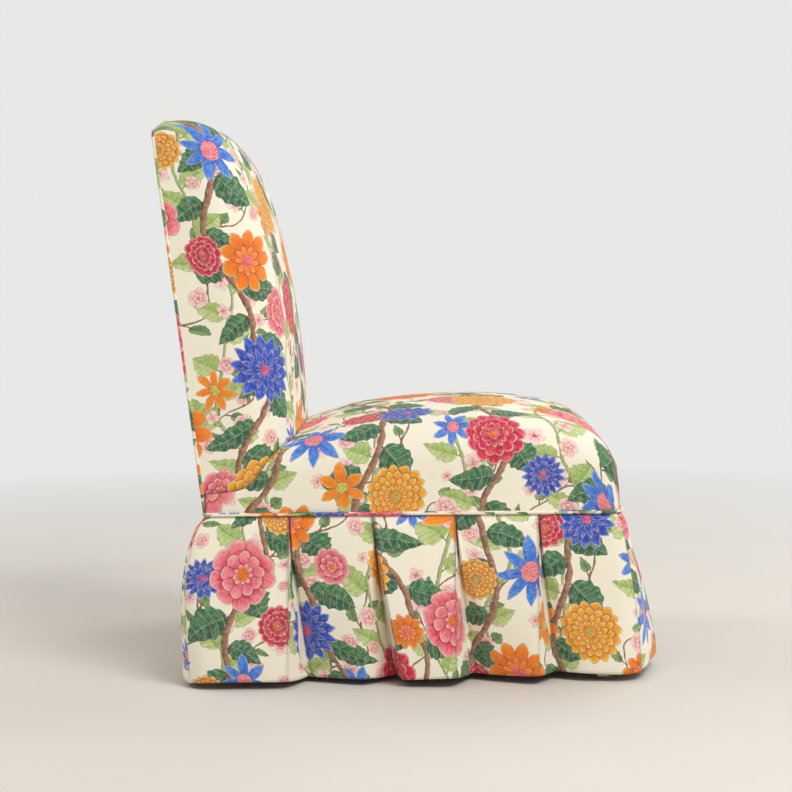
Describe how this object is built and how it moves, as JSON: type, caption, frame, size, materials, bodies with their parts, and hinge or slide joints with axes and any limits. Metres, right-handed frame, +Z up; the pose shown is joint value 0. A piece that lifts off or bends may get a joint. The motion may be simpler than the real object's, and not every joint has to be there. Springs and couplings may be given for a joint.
{
  "type": "slipper chair",
  "caption": "Low armless upholstered chair with a raked padded back, a crowned tight seat, piped seams and a box-pleated skirt that hides its wooden legs.",
  "frame": {"origin": "on the floor, under the middle of the chair's outline", "axes": "+Z up, -Y towards the front of the seat, +X to the right as seen from the front"},
  "size_m": [0.664, 0.7695, 0.8758],
  "materials": {
    "frame_wood": "planed pale hardwood, sanded, clear matt on the legs",
    "zinc_steel": "bright zinc plate",
    "spring_steel": "dark oil-tempered wire",
    "glide_plastic": "brown nylon",
    "hessian": "coarse plain weave",
    "webbing": "woven jute with a dark edge line",
    "foam": "open-cell cushion foam",
    "print_cotton": "cream cotton with a many-coloured flower print",
    "piping_cotton": "bias-cut print cotton over cord",
    "lining_cotton": "plain cream sateen",
    "tack_card": "grey-brown card strip",
    "dust_cloth": "thin black spun cloth"
  },
  "bodies": {
    "root": {"back_cross_webs": "webbing", "back_foam": "foam", "back_hessian": "hessian", "back_piping": "piping_cotton", "back_post_left": "frame_wood", "back_post_right": "frame_wood", "back_rail_dowels": "frame_wood", "back_stuffing_rail": "frame_wood", "back_top_rail": "frame_wood", "back_upright_webs": "webbing", "corner_block_screws": "zinc_steel", "corner_blocks": "frame_wood", "dust_cover": "dust_cloth", "dust_cover_staples": "zinc_steel", "front_leg_left": "frame_wood", "front_leg_right": "frame_wood", "front_rail": "frame_wood", "inside_back_cover": "print_cotton", "left_rail": "frame_wood", "leg_glides": "glide_plastic", "outside_back_cover": "print_cotton", "outside_back_lining": "lining_cotton", "rail_dowels": "frame_wood", "rear_rail": "frame_wood", "right_rail": "frame_wood", "seat_cover": "print_cotton", "seat_foam": "foam", "seat_welt": "piping_cotton", "skirt_front": "print_cotton", "skirt_left": "print_cotton", "skirt_lining_front": "lining_cotton", "skirt_lining_left": "lining_cotton", "skirt_lining_rear": "lining_cotton", "skirt_lining_right": "lining_cotton", "skirt_rear": "print_cotton", "skirt_right": "print_cotton", "skirt_tack_strips": "tack_card", "spring_canvas": "hessian", "spring_clips": "spring_steel", "zigzag_springs": "spring_steel"}
  },
  "joints": []
}
